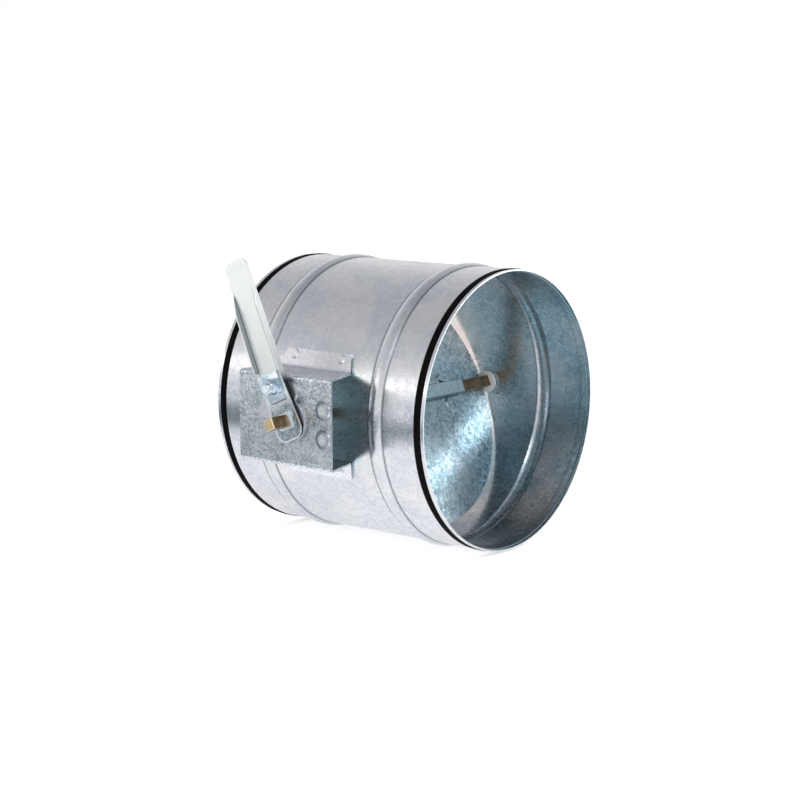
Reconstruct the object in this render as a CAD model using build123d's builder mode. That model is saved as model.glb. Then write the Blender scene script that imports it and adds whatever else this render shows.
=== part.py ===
"""Volume control damper for a round ventilation duct.

A beaded sheet-metal tube carries a round blade on a square shaft. The shaft leaves the tube
through a hat bracket, where a locking lever on a quadrant sets and holds the blade's angle.

Frame: +X along the duct, out of its front end; -Y out of the hat bracket, along the shaft;
+Z up. The origin is where the shaft's axis crosses the duct's axis. Millimetres.
"""
from build123d import *

import os
from math import cos, radians, sin, sqrt, tan

os.makedirs("parts", exist_ok=True)

# ---------------------------------------------------------------- driving dimensions
# Tube
DUCT_DIAMETER = 200.0
DUCT_LENGTH = 190.0
TUBE_WALL = 1.0
BEAD_OFFSET = 53.0          # from the tube's middle to each bead's crest
BEAD_WIDTH = 12.0
BEAD_HEIGHT = 2.0
HEM_WIDTH = 2.4             # bare metal between a gasket and the tube's end
GASKET_WIDTH = 5.0
SEAT_DEPTH = 0.7
SEAT_SLOPE = 0.5
GASKET_PROUD = 0.45

# Blade, its strap and the shaft
OPEN_ANGLE = 24.0           # blade from closed, its top swung towards -X
BLADE_GAP = 1.8             # between the blade's rim and the tube
BLADE_SHEET = 1.0
SHAFT_SIDE = 8.0
SHAFT_CHAMFER = 0.5
SHAFT_OUT_LEVER = 17.5      # shaft end beyond the lever's floor
STRAP_LENGTH = 124.0
STRAP_SHEET = 1.2
STRAP_FLANGE = 9.0
NOTCH_SIDE_GAP = 1.0        # from the blade's end notches to a bush's rim
NOTCH_END_GAP = 0.5         # and to its face
STRAP_RIVET_PITCH = 48.0
STRAP_RIVET_COUNT = 3

# Bushes and the far end's retainer
BUSH_RADIUS = 6.95
BUSH_FLANGE_RADIUS = 8.5
BUSH_FLANGE = 2.0
BUSH_BEYOND_WALL = 0.6
RETAINER_RADIUS = 9.0
RETAINER_THICKNESS = 1.2
CLIP_THICKNESS = 1.0
CLIP_RADIUS = 6.5
CLIP_OPENING = 60.0         # degrees left open in the clip
GROOVE_RADIUS = 3.5
SHAFT_OUT_CLIP = 1.8

# Hat bracket
BRACKET_SHIFT = -4.0        # its middle, along X, from the shaft
BRACKET_LENGTH = 85.0       # at the face plate
BRACKET_FOOT_LENGTH = 66.0  # at the tube
BRACKET_WIDTH = 64.0
BRACKET_REACH = 28.0        # face plate beyond the tube's radius
BRACKET_SHEET = 1.5
BRACKET_BEND = 2.5
FOOT_OUT = 4.0              # foot flange beyond its rivet line
FOOT_ANGLE = 23.4           # of the rivet line round the tube, from -Y
FOOT_RIVET_PITCH = 43.0
PRESSING_RADIUS = 6.5
PRESSING_HEIGHT = 1.2
PRESSING_TAPER = 30.0       # degrees
PRESSING_X = 31.0
PRESSING_PITCH = 20.0
PILOT_RADIUS = 1.6
PILOT_X = 22.5

# Quadrant
QUADRANT_SHEET = 1.5
QUADRANT_RADIUS = 27.0
QUADRANT_HUB_RIM = 0.8      # metal outside the hub's rivet holes
QUADRANT_FROM = 68.0        # degrees from +X towards +Z
QUADRANT_TO = 180.0
QUADRANT_RIVET_ANGLES = (20.0, 235.0, 305.0)

# Lever
LEVER_SHEET = 1.5
LEVER_ABOVE = 117.5         # shaft to the handle's end
LEVER_BELOW = 14.0          # shaft to the lower end
LEVER_TOP_WIDTH = 21.6
LEVER_LOW_WIDTH = 25.0
LEVER_TOP_CORNER = 7.0
LEVER_LOW_CORNER = 8.0
RIM_HEIGHT = 3.5
RIM_STARTS_AT = -3.0        # along the lever, from the shaft
RIM_FULL_FROM = 34.0
RIM_FULL_TO = 82.0
RIM_GONE_AT = 97.0
LOCK_SIDE_RIM_FROM = 38.0
COLLAR_WALL = 1.3
COLLAR_HEIGHT = 2.5

# Lever lock
STUD_AT = 25.5              # along the lever, from the shaft
STUD_RADIUS = 2.95
STUD_HEIGHT = 11.5
CLAMP_SHEET = 2.0
CLAMP_TONGUE = 15.0
CLAMP_EAR = 12.0            # from the lever's centre line
CLAMP_EAR_FROM = 20.0
CLAMP_FROM = 14.5
CLAMP_TO = 35.0
CLAMP_CORNER = 1.5
LOCK_WASHER_RADIUS = 6.25
LOCK_WASHER = 1.2
NUT_FLATS = 10.0
NUT_HEIGHT = 5.0
NUT_CHAMFER = 0.8

# Rivets
RIVET_SHANK = 1.9
RIVET_HEAD = 3.6
RIVET_HEAD_HEIGHT = 1.2
RIVET_HEAD_TAPER = 35.0     # degrees
RIVET_TAIL = 2.9
RIVET_TAIL_HEIGHT = 0.8

# Clearances
RUNNING = 0.05              # radial, round shaft or stud in a hole
SLIDE_ON = 0.05             # each side, square shaft in a square hole
MOVING_GAP = 0.3            # between faces that pass each other
SEAT_GAP = 0.05             # between a flat foot and the round tube
FREE_HOLE = 0.25            # radial, hole round something that only passes through

# How far each cutting tool reaches past the face that it cuts
CUT_PAST = 1.0

# ---------------------------------------------------------------- derived sizes
TUBE_RADIUS = DUCT_DIAMETER / 2
TUBE_BORE = TUBE_RADIUS - TUBE_WALL
HALF_LENGTH = DUCT_LENGTH / 2
SEAT_RADIUS = TUBE_RADIUS - SEAT_DEPTH

BUSH_HOLE = BUSH_RADIUS + RUNNING
SQUARE_HOLE = SHAFT_SIDE + 2 * SLIDE_ON
HALF_SHAFT = SHAFT_SIDE / 2
RIVET_HOLE = RIVET_SHANK

# Distances out from the duct's axis along the shaft, on either side
WALL_BUSH_FACE = sqrt(TUBE_BORE**2 - BUSH_FLANGE_RADIUS**2) - MOVING_GAP
WALL_BUSH_END = TUBE_RADIUS + BUSH_BEYOND_WALL
PLATE_FACE = TUBE_RADIUS + BRACKET_REACH
PLATE_BACK = PLATE_FACE - BRACKET_SHEET
QUADRANT_FACE = PLATE_FACE + QUADRANT_SHEET
LEVER_BACK = QUADRANT_FACE + MOVING_GAP
LEVER_FLOOR = LEVER_BACK + LEVER_SHEET
CLAMP_FACE = LEVER_FLOOR + CLAMP_SHEET
WASHER_FACE = CLAMP_FACE + LOCK_WASHER
SHAFT_NEAR_END = LEVER_FLOOR + SHAFT_OUT_LEVER
CLIP_SEAT = WALL_BUSH_END + RETAINER_THICKNESS
SHAFT_FAR_END = CLIP_SEAT + CLIP_THICKNESS + SHAFT_OUT_CLIP

QUADRANT_RIVET_CIRCLE = BUSH_FLANGE_RADIUS + 2 * MOVING_GAP + RIVET_TAIL
QUADRANT_HUB = QUADRANT_RIVET_CIRCLE + RIVET_SHANK + QUADRANT_HUB_RIM

BLADE_RADIUS = TUBE_BORE - BLADE_GAP
BLADE_NOTCH_HALF = BUSH_FLANGE_RADIUS + NOTCH_SIDE_GAP
BLADE_NOTCH_AT = WALL_BUSH_FACE - BUSH_FLANGE - NOTCH_END_GAP
STRAP_HALF_CHANNEL = HALF_SHAFT + 2 * SLIDE_ON
STRAP_HALF_WIDTH = STRAP_HALF_CHANNEL + STRAP_SHEET + STRAP_FLANGE
STRAP_RIVET_LINE = STRAP_HALF_CHANNEL + STRAP_SHEET + STRAP_FLANGE / 2

# Directions that turn with the blade: along the lever, and across it towards +X
ALONG = Vector(-sin(radians(OPEN_ANGLE)), 0, cos(radians(OPEN_ANGLE)))
ACROSS = Vector(cos(radians(OPEN_ANGLE)), 0, sin(radians(OPEN_ANGLE)))


# ---------------------------------------------------------------- planes and repeated shapes
def lever_plane(out):
    """A plane across the shaft, `out` towards the lever: x across the lever, y along it."""
    return Plane(origin=(0, -out, 0), x_dir=ACROSS, z_dir=(0, -1, 0))


def bracket_plane(out):
    """A plane across the shaft, `out` towards the lever: x along the duct, y up."""
    return Plane(origin=(0, -out, 0), x_dir=(1, 0, 0), z_dir=(0, -1, 0))


def blade_plane(forward):
    """A plane along the blade, `forward` of the shaft's axis: x along +Y, y along the lever."""
    return Plane(origin=ACROSS * forward, x_dir=(0, 1, 0), z_dir=ACROSS)


def foot_plane(side, out):
    """A plane that touches the tube along a bracket foot's rivet line, raised by `out`."""
    normal = Vector(0, -cos(radians(FOOT_ANGLE)), side * sin(radians(FOOT_ANGLE)))
    return Plane(origin=normal * (TUBE_RADIUS + out), x_dir=(1, 0, 0), z_dir=normal)


def draw_wall(radius):
    """Draw the tube's wall line from end to end, with its gasket seats and beads."""
    for side in (-1, 1):
        hem = side * (HALF_LENGTH - HEM_WIDTH)
        seat_outer = hem - side * SEAT_SLOPE
        seat_inner = seat_outer - side * GASKET_WIDTH
        Polyline(
            (side * HALF_LENGTH, radius),
            (hem, radius),
            (seat_outer, radius - SEAT_DEPTH),
            (seat_inner, radius - SEAT_DEPTH),
            (seat_inner - side * SEAT_SLOPE, radius),
            (side * (BEAD_OFFSET + BEAD_WIDTH / 2), radius),
        )
        ThreePointArc(
            (side * (BEAD_OFFSET + BEAD_WIDTH / 2), radius),
            (side * BEAD_OFFSET, radius + BEAD_HEIGHT),
            (side * (BEAD_OFFSET - BEAD_WIDTH / 2), radius),
        )
    Line((BEAD_WIDTH / 2 - BEAD_OFFSET, radius), (BEAD_OFFSET - BEAD_WIDTH / 2, radius))


def make_gasket(side):
    """A crowned rubber ring in the seat at one end of the tube."""
    outer = side * (HALF_LENGTH - HEM_WIDTH - SEAT_SLOPE)
    inner = outer - side * GASKET_WIDTH
    shoulder = TUBE_RADIUS + GASKET_PROUD / 2
    with BuildPart() as gasket:
        with BuildSketch(Plane.XZ):
            with BuildLine():
                Polyline((outer, shoulder), (outer, SEAT_RADIUS), (inner, SEAT_RADIUS), (inner, shoulder))
                ThreePointArc(
                    (inner, shoulder),
                    ((outer + inner) / 2, TUBE_RADIUS + GASKET_PROUD),
                    (outer, shoulder),
                )
            make_face()
        revolve(axis=Axis.X)
    return gasket.part


def make_bush(flange_start, flange_end, journal_end):
    """A flanged bush with a square bore, between distances measured towards the lever."""
    towards_lever = 1 if flange_end > flange_start else -1
    with BuildPart() as bush:
        with BuildSketch(lever_plane(flange_start)):
            Circle(BUSH_FLANGE_RADIUS)
        extrude(amount=flange_end - flange_start)
        with BuildSketch(lever_plane(flange_end)):
            Circle(BUSH_RADIUS)
        extrude(amount=journal_end - flange_end)
        with BuildSketch(lever_plane(flange_start - towards_lever * CUT_PAST)):
            Rectangle(SQUARE_HOLE, SQUARE_HOLE)
        extrude(amount=journal_end - flange_start + 2 * towards_lever * CUT_PAST, mode=Mode.SUBTRACT)
    return bush.part


def make_rivet(seat, grip):
    """A domed rivet whose head sits on a plane, with its tail behind a grip's thickness."""
    with BuildPart() as rivet:
        with BuildSketch(seat):
            Circle(RIVET_HEAD)
        extrude(amount=RIVET_HEAD_HEIGHT, taper=RIVET_HEAD_TAPER)
        with BuildSketch(seat):
            Circle(RIVET_SHANK)
        extrude(amount=-grip)
        with BuildSketch(seat.offset(-grip)):
            Circle(RIVET_TAIL)
        extrude(amount=-RIVET_TAIL_HEIGHT)
    return rivet.part


def strap_rivet_spots():
    """Each strap rivet's place in a blade plane: along the shaft, and across it."""
    first = -STRAP_RIVET_PITCH * (STRAP_RIVET_COUNT - 1) / 2
    for side in (-1, 1):
        for index in range(STRAP_RIVET_COUNT):
            yield first + index * STRAP_RIVET_PITCH, side * STRAP_RIVET_LINE


def quadrant_rivet_spots():
    """Each quadrant rivet's place in a bracket plane."""
    for angle in QUADRANT_RIVET_ANGLES:
        turn = radians(angle)
        yield QUADRANT_RIVET_CIRCLE * cos(turn), QUADRANT_RIVET_CIRCLE * sin(turn)


def foot_rivet_spots():
    """Each foot rivet's place along X."""
    for side in (-1, 1):
        yield BRACKET_SHIFT + side * FOOT_RIVET_PITCH / 2


# ---------------------------------------------------------------- tube and gaskets
with BuildPart() as duct_tube:
    with BuildSketch(Plane.XZ):
        with BuildLine():
            draw_wall(TUBE_RADIUS)
            draw_wall(TUBE_BORE)
            Line((-HALF_LENGTH, TUBE_BORE), (-HALF_LENGTH, TUBE_RADIUS))
            Line((HALF_LENGTH, TUBE_BORE), (HALF_LENGTH, TUBE_RADIUS))
        make_face()
    revolve(axis=Axis.X)
    with BuildSketch(Plane.XZ):
        Circle(BUSH_HOLE)
    extrude(amount=TUBE_RADIUS + CUT_PAST, both=True, mode=Mode.SUBTRACT)
    for side in (-1, 1):
        with BuildSketch(foot_plane(side, CUT_PAST)):
            for x in foot_rivet_spots():
                with Locations((x, 0)):
                    Circle(RIVET_HOLE)
        extrude(amount=-TUBE_WALL - 2 * CUT_PAST, mode=Mode.SUBTRACT)
duct_tube.part.label = "duct_tube"
export_step(duct_tube.part, "parts/duct_tube.step")

front_gasket = make_gasket(1)
front_gasket.label = "front_gasket"
export_step(front_gasket, "parts/front_gasket.step")

rear_gasket = make_gasket(-1)
rear_gasket.label = "rear_gasket"
export_step(rear_gasket, "parts/rear_gasket.step")

# ---------------------------------------------------------------- hat bracket
# Its outline across the duct is one bent sheet: foot, wall, face plate, wall, foot.
foot_turn = radians(FOOT_ANGLE)
foot_face = TUBE_RADIUS + SEAT_GAP + BRACKET_SHEET
foot_inset = (BRACKET_WIDTH / 2 - foot_face * sin(foot_turn)) / cos(foot_turn)
foot_corner_y = -foot_face * cos(foot_turn) + foot_inset * sin(foot_turn)
foot_tip_y = -foot_face * cos(foot_turn) + FOOT_OUT * sin(foot_turn)
foot_tip_z = foot_face * sin(foot_turn) + FOOT_OUT * cos(foot_turn)
# The blank's ends are cut straight, so the same slant runs down the walls and on over the feet.
end_slant = (BRACKET_LENGTH - BRACKET_FOOT_LENGTH) / 2 / (PLATE_FACE + foot_corner_y)
foot_run = sqrt((foot_tip_y - foot_corner_y) ** 2 + (foot_tip_z - BRACKET_WIDTH / 2) ** 2)
half_foot = BRACKET_FOOT_LENGTH / 2
half_tip = half_foot - end_slant * foot_run

with BuildPart() as hat_bracket:
    with BuildSketch(Plane.YZ.offset(BRACKET_SHIFT)):
        with BuildLine():
            FilletPolyline(
                (foot_tip_y, foot_tip_z),
                (foot_corner_y, BRACKET_WIDTH / 2),
                (-PLATE_FACE, BRACKET_WIDTH / 2),
                (-PLATE_FACE, -BRACKET_WIDTH / 2),
                (foot_corner_y, -BRACKET_WIDTH / 2),
                (foot_tip_y, -foot_tip_z),
                radius=BRACKET_BEND,
            )
            offset(amount=BRACKET_SHEET, side=Side.LEFT)
        make_face()
    extrude(amount=BRACKET_LENGTH / 2, both=True)
    # The open ends lean out from the foot to the face plate.
    with BuildSketch(Plane.XY):
        with BuildLine():
            Polyline(
                (BRACKET_SHIFT - BRACKET_LENGTH / 2, -PLATE_FACE),
                (BRACKET_SHIFT + BRACKET_LENGTH / 2, -PLATE_FACE),
                (BRACKET_SHIFT + half_foot, foot_corner_y),
                (BRACKET_SHIFT + half_tip, foot_tip_y),
                (BRACKET_SHIFT + half_tip, 0),
                (BRACKET_SHIFT - half_tip, 0),
                (BRACKET_SHIFT - half_tip, foot_tip_y),
                (BRACKET_SHIFT - half_foot, foot_corner_y),
                close=True,
            )
        make_face()
    extrude(amount=TUBE_RADIUS, both=True, mode=Mode.INTERSECT)
    # Two round pressings stand out of the face plate beside a pilot hole.
    pressing_spots = [(PRESSING_X, side * PRESSING_PITCH / 2) for side in (-1, 1)]
    with BuildSketch(bracket_plane(PLATE_FACE)):
        with Locations(*pressing_spots):
            Circle(PRESSING_RADIUS)
    extrude(amount=PRESSING_HEIGHT, taper=PRESSING_TAPER)
    with BuildSketch(bracket_plane(PLATE_BACK)):
        with Locations(*pressing_spots):
            Circle(PRESSING_RADIUS - BRACKET_SHEET)
    extrude(amount=PRESSING_HEIGHT, taper=PRESSING_TAPER, mode=Mode.SUBTRACT)
    with BuildSketch(bracket_plane(PLATE_FACE + CUT_PAST)):
        with Locations((PILOT_X, 0)):
            Circle(PILOT_RADIUS)
        Circle(BUSH_HOLE)
        with Locations(*quadrant_rivet_spots()):
            Circle(RIVET_HOLE)
    extrude(amount=-BRACKET_SHEET - 2 * CUT_PAST, mode=Mode.SUBTRACT)
    for side in (-1, 1):
        with BuildSketch(foot_plane(side, BRACKET_SHEET + CUT_PAST)):
            for x in foot_rivet_spots():
                with Locations((x, 0)):
                    Circle(RIVET_HOLE)
        extrude(amount=-BRACKET_SHEET - 2 * CUT_PAST, mode=Mode.SUBTRACT)
hat_bracket.part.label = "hat_bracket"
export_step(hat_bracket.part, "parts/hat_bracket.step")

with BuildPart() as foot_rivets:
    for side in (-1, 1):
        seat = foot_plane(side, SEAT_GAP + BRACKET_SHEET)
        for x in foot_rivet_spots():
            add(make_rivet(seat.shift_origin(seat.from_local_coords((x, 0, 0))),
                           SEAT_GAP + BRACKET_SHEET + TUBE_WALL + SEAT_GAP))
foot_rivets.part.label = "foot_rivets"
export_step(foot_rivets.part, "parts/foot_rivets.step")

# ---------------------------------------------------------------- quadrant
quadrant_start = radians(QUADRANT_FROM)
quadrant_end = radians(QUADRANT_TO)
quadrant_middle = (quadrant_start + quadrant_end) / 2

with BuildPart() as quadrant:
    with BuildSketch(bracket_plane(PLATE_FACE)):
        with BuildLine():
            ThreePointArc(*[
                (QUADRANT_RADIUS * cos(turn), QUADRANT_RADIUS * sin(turn))
                for turn in (quadrant_start, quadrant_middle, quadrant_end)
            ])
            Polyline(
                (QUADRANT_RADIUS * cos(quadrant_end), QUADRANT_RADIUS * sin(quadrant_end)),
                (0, 0),
                (QUADRANT_RADIUS * cos(quadrant_start), QUADRANT_RADIUS * sin(quadrant_start)),
            )
        make_face()
        Circle(QUADRANT_HUB)
        Circle(BUSH_HOLE + FREE_HOLE, mode=Mode.SUBTRACT)
        with Locations(*quadrant_rivet_spots()):
            Circle(RIVET_HOLE, mode=Mode.SUBTRACT)
    extrude(amount=QUADRANT_SHEET)
quadrant.part.label = "quadrant"
export_step(quadrant.part, "parts/quadrant.step")

# Flush in front, where the lever passes over them.
with BuildPart() as quadrant_rivets:
    with BuildSketch(bracket_plane(QUADRANT_FACE)):
        with Locations(*quadrant_rivet_spots()):
            Circle(RIVET_SHANK)
    extrude(amount=-QUADRANT_SHEET - BRACKET_SHEET)
    with BuildSketch(bracket_plane(PLATE_BACK)):
        with Locations(*quadrant_rivet_spots()):
            Circle(RIVET_TAIL)
    extrude(amount=-RIVET_TAIL_HEIGHT)
quadrant_rivets.part.label = "quadrant_rivets"
export_step(quadrant_rivets.part, "parts/quadrant_rivets.step")

# ---------------------------------------------------------------- shaft, bushes and far retainer
with BuildPart() as shaft:
    with BuildSketch(lever_plane(-SHAFT_FAR_END)):
        Rectangle(SHAFT_SIDE, SHAFT_SIDE)
    extrude(amount=SHAFT_FAR_END + SHAFT_NEAR_END)
    chamfer(shaft.faces().filter_by(Axis.Y).edges(), SHAFT_CHAMFER)
    with BuildSketch(lever_plane(-CLIP_SEAT)):
        Rectangle(SHAFT_SIDE + CUT_PAST, SHAFT_SIDE + CUT_PAST)
        Circle(GROOVE_RADIUS, mode=Mode.SUBTRACT)
    extrude(amount=-CLIP_THICKNESS, mode=Mode.SUBTRACT)
shaft.part.label = "shaft"
export_step(shaft.part, "parts/shaft.step")

near_bush = make_bush(WALL_BUSH_FACE - BUSH_FLANGE, WALL_BUSH_FACE, WALL_BUSH_END)
near_bush.label = "near_bush"
export_step(near_bush, "parts/near_bush.step")

far_bush = make_bush(BUSH_FLANGE - WALL_BUSH_FACE, -WALL_BUSH_FACE, -WALL_BUSH_END)
far_bush.label = "far_bush"
export_step(far_bush, "parts/far_bush.step")

plate_bush = make_bush(PLATE_BACK - MOVING_GAP - BUSH_FLANGE, PLATE_BACK - MOVING_GAP, LEVER_BACK)
plate_bush.label = "plate_bush"
export_step(plate_bush, "parts/plate_bush.step")

with BuildPart() as far_washer:
    with BuildSketch(lever_plane(-WALL_BUSH_END)):
        Circle(RETAINER_RADIUS)
        Rectangle(SQUARE_HOLE, SQUARE_HOLE, mode=Mode.SUBTRACT)
    extrude(amount=-RETAINER_THICKNESS)
far_washer.part.label = "far_washer"
export_step(far_washer.part, "parts/far_washer.step")

with BuildPart() as far_clip:
    with BuildSketch(lever_plane(-CLIP_SEAT)):
        Circle(CLIP_RADIUS)
        Circle(GROOVE_RADIUS + SLIDE_ON, mode=Mode.SUBTRACT)
        clip_reach = 2 * CLIP_RADIUS * tan(radians(CLIP_OPENING / 2))
        with BuildLine():
            Polyline((0, 0), (-clip_reach, -2 * CLIP_RADIUS), (clip_reach, -2 * CLIP_RADIUS), close=True)
        make_face(mode=Mode.SUBTRACT)
    extrude(amount=-CLIP_THICKNESS)
far_clip.part.label = "far_clip"
export_step(far_clip.part, "parts/far_clip.step")

# ---------------------------------------------------------------- blade and strap
with BuildPart() as blade:
    with BuildSketch(blade_plane(-HALF_SHAFT)):
        Circle(BLADE_RADIUS)
        for side in (-1, 1):
            with Locations((side * (BLADE_NOTCH_AT + BLADE_RADIUS / 2), 0)):
                Rectangle(BLADE_RADIUS, 2 * BLADE_NOTCH_HALF, mode=Mode.SUBTRACT)
        with Locations(*strap_rivet_spots()):
            Circle(RIVET_HOLE, mode=Mode.SUBTRACT)
    extrude(amount=-BLADE_SHEET)
blade.part.label = "blade"
export_step(blade.part, "parts/blade.step")

with BuildPart() as blade_strap:
    with BuildSketch(Plane(origin=(0, -STRAP_LENGTH / 2, 0), x_dir=ALONG, z_dir=(0, 1, 0))):
        with BuildLine():
            Polyline(
                (-STRAP_HALF_WIDTH, -HALF_SHAFT),
                (-STRAP_HALF_CHANNEL, -HALF_SHAFT),
                (-STRAP_HALF_CHANNEL, HALF_SHAFT + SLIDE_ON),
                (STRAP_HALF_CHANNEL, HALF_SHAFT + SLIDE_ON),
                (STRAP_HALF_CHANNEL, -HALF_SHAFT),
                (STRAP_HALF_WIDTH, -HALF_SHAFT),
            )
            offset(amount=STRAP_SHEET, side=Side.LEFT, kind=Kind.INTERSECTION)
        make_face()
    extrude(amount=STRAP_LENGTH)
    with BuildSketch(blade_plane(-HALF_SHAFT - CUT_PAST)):
        with Locations(*strap_rivet_spots()):
            Circle(RIVET_HOLE)
    extrude(amount=STRAP_SHEET + 2 * CUT_PAST, mode=Mode.SUBTRACT)
blade_strap.part.label = "blade_strap"
export_step(blade_strap.part, "parts/blade_strap.step")

with BuildPart() as strap_rivets:
    seat = blade_plane(STRAP_SHEET - HALF_SHAFT)
    for along, across in strap_rivet_spots():
        add(make_rivet(seat.shift_origin(seat.from_local_coords((along, across, 0))),
                       STRAP_SHEET + BLADE_SHEET))
strap_rivets.part.label = "strap_rivets"
export_step(strap_rivets.part, "parts/strap_rivets.step")

# ---------------------------------------------------------------- lever
lever_height = LEVER_SHEET + RIM_HEIGHT
clamp_slot_low = CLAMP_FROM - MOVING_GAP
clamp_slot_high = CLAMP_FROM + CLAMP_SHEET + MOVING_GAP
lever_corners = [
    (-LEVER_LOW_WIDTH / 2, -LEVER_BELOW),
    (LEVER_LOW_WIDTH / 2, -LEVER_BELOW),
    (LEVER_TOP_WIDTH / 2, LEVER_ABOVE),
    (-LEVER_TOP_WIDTH / 2, LEVER_ABOVE),
]

with BuildPart() as lever:
    # A tray: the outline at full height, hollowed down to its floor.
    with BuildSketch(lever_plane(LEVER_BACK)) as lever_outline:
        with BuildLine():
            Polyline(*lever_corners, close=True)
        make_face()
        fillet(lever_outline.vertices().group_by(Axis.Y)[0], LEVER_LOW_CORNER)
        fillet(lever_outline.vertices().group_by(Axis.Y)[-1], LEVER_TOP_CORNER)
    extrude(amount=lever_height)
    with BuildSketch(lever_plane(LEVER_FLOOR)):
        add(lever_outline.sketch_local)
        offset(amount=-LEVER_SHEET, kind=Kind.INTERSECTION)
    extrude(amount=RIM_HEIGHT, mode=Mode.SUBTRACT)
    # The rim fades out towards both flat ends.
    for full, gone, end in (
        (RIM_FULL_TO, RIM_GONE_AT, LEVER_ABOVE + CUT_PAST),
        (RIM_FULL_FROM, RIM_STARTS_AT, -LEVER_BELOW - CUT_PAST),
    ):
        with BuildSketch(Plane(origin=(0, 0, 0), x_dir=ALONG, z_dir=ACROSS)):
            with BuildLine():
                Polyline(
                    (full, LEVER_FLOOR + RIM_HEIGHT),
                    (gone, LEVER_FLOOR),
                    (end, LEVER_FLOOR),
                    (end, LEVER_FLOOR + RIM_HEIGHT + CUT_PAST),
                    (full, LEVER_FLOOR + RIM_HEIGHT + CUT_PAST),
                    close=True,
                )
            make_face()
        extrude(amount=LEVER_LOW_WIDTH, both=True, mode=Mode.SUBTRACT)
    # One side has no rim beside the lock, for a spanner on its nut.
    with BuildSketch(lever_plane(LEVER_FLOOR)):
        with Locations((-LEVER_LOW_WIDTH / 2, (LOCK_SIDE_RIM_FROM - LEVER_BELOW) / 2)):
            Rectangle(LEVER_LOW_WIDTH / 2, LOCK_SIDE_RIM_FROM + LEVER_BELOW)
    extrude(amount=RIM_HEIGHT + CUT_PAST, mode=Mode.SUBTRACT)
    # A drawn collar grips the shaft, and the stud and the clamp's lip pass through the floor.
    with BuildSketch(lever_plane(LEVER_FLOOR)):
        Rectangle(SQUARE_HOLE + 2 * COLLAR_WALL, SQUARE_HOLE + 2 * COLLAR_WALL)
    extrude(amount=COLLAR_HEIGHT)
    with BuildSketch(lever_plane(LEVER_BACK - CUT_PAST)):
        Rectangle(SQUARE_HOLE, SQUARE_HOLE)
        with Locations((0, STUD_AT)):
            Circle(STUD_RADIUS)
        with Locations((0, (clamp_slot_low + clamp_slot_high) / 2)):
            Rectangle(CLAMP_TONGUE + 2 * MOVING_GAP, clamp_slot_high - clamp_slot_low)
    extrude(amount=lever_height + 2 * CUT_PAST, mode=Mode.SUBTRACT)
lever.part.label = "lever"
export_step(lever.part, "parts/lever.step")

# ---------------------------------------------------------------- lever lock
with BuildPart() as lock_stud:
    with BuildSketch(lever_plane(LEVER_BACK)):
        with Locations((0, STUD_AT)):
            Circle(STUD_RADIUS)
    extrude(amount=STUD_HEIGHT)
    chamfer(lock_stud.faces().sort_by(Axis.Y)[0].edges(), SHAFT_CHAMFER)
lock_stud.part.label = "lock_stud"
export_step(lock_stud.part, "parts/lock_stud.step")

with BuildPart() as lock_clamp:
    with BuildSketch(lever_plane(LEVER_FLOOR)) as clamp_outline:
        with BuildLine():
            Polyline(
                (-CLAMP_TONGUE / 2, CLAMP_FROM),
                (CLAMP_TONGUE / 2, CLAMP_FROM),
                (CLAMP_TONGUE / 2, CLAMP_TO),
                (-CLAMP_EAR, CLAMP_TO),
                (-CLAMP_EAR, CLAMP_EAR_FROM),
                (-CLAMP_TONGUE / 2, CLAMP_EAR_FROM),
                close=True,
            )
        make_face()
        fillet(clamp_outline.vertices().sort_by(Axis.X)[:2], CLAMP_CORNER)
    extrude(amount=CLAMP_SHEET)
    # The lip turned down at the tongue's end bears on the quadrant when the nut is tight.
    with BuildSketch(lever_plane(LEVER_BACK)):
        with Locations((0, CLAMP_FROM + CLAMP_SHEET / 2)):
            Rectangle(CLAMP_TONGUE, CLAMP_SHEET)
    extrude(amount=LEVER_SHEET)
    with BuildSketch(lever_plane(CLAMP_FACE + CUT_PAST)):
        with Locations((0, STUD_AT)):
            Circle(STUD_RADIUS + FREE_HOLE)
    extrude(amount=-CLAMP_SHEET - 2 * CUT_PAST, mode=Mode.SUBTRACT)
lock_clamp.part.label = "lock_clamp"
export_step(lock_clamp.part, "parts/lock_clamp.step")

with BuildPart() as lock_washer:
    with BuildSketch(lever_plane(CLAMP_FACE)):
        with Locations((0, STUD_AT)):
            Circle(LOCK_WASHER_RADIUS)
            Circle(STUD_RADIUS + FREE_HOLE, mode=Mode.SUBTRACT)
    extrude(amount=LOCK_WASHER)
lock_washer.part.label = "lock_washer"
export_step(lock_washer.part, "parts/lock_washer.step")

with BuildPart() as lock_nut:
    with BuildSketch(lever_plane(WASHER_FACE)):
        with Locations((0, STUD_AT)):
            RegularPolygon(NUT_FLATS / 2, 6, major_radius=False)
    extrude(amount=NUT_HEIGHT)
    # The corners are turned off to a cone on both faces.
    corner_radius = NUT_FLATS / sqrt(3)
    with BuildSketch(Plane(origin=ALONG * STUD_AT, x_dir=ACROSS, z_dir=-ALONG)):
        with BuildLine():
            Polyline(
                (0, WASHER_FACE),
                (NUT_FLATS / 2, WASHER_FACE),
                (corner_radius, WASHER_FACE + NUT_CHAMFER),
                (corner_radius, WASHER_FACE + NUT_HEIGHT - NUT_CHAMFER),
                (NUT_FLATS / 2, WASHER_FACE + NUT_HEIGHT),
                (0, WASHER_FACE + NUT_HEIGHT),
                close=True,
            )
        make_face()
    revolve(axis=Axis(ALONG * STUD_AT, (0, -1, 0)), mode=Mode.INTERSECT)
    with BuildSketch(lever_plane(WASHER_FACE - CUT_PAST)):
        with Locations((0, STUD_AT)):
            Circle(STUD_RADIUS + RUNNING)
    extrude(amount=NUT_HEIGHT + 2 * CUT_PAST, mode=Mode.SUBTRACT)
lock_nut.part.label = "lock_nut"
export_step(lock_nut.part, "parts/lock_nut.step")
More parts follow.
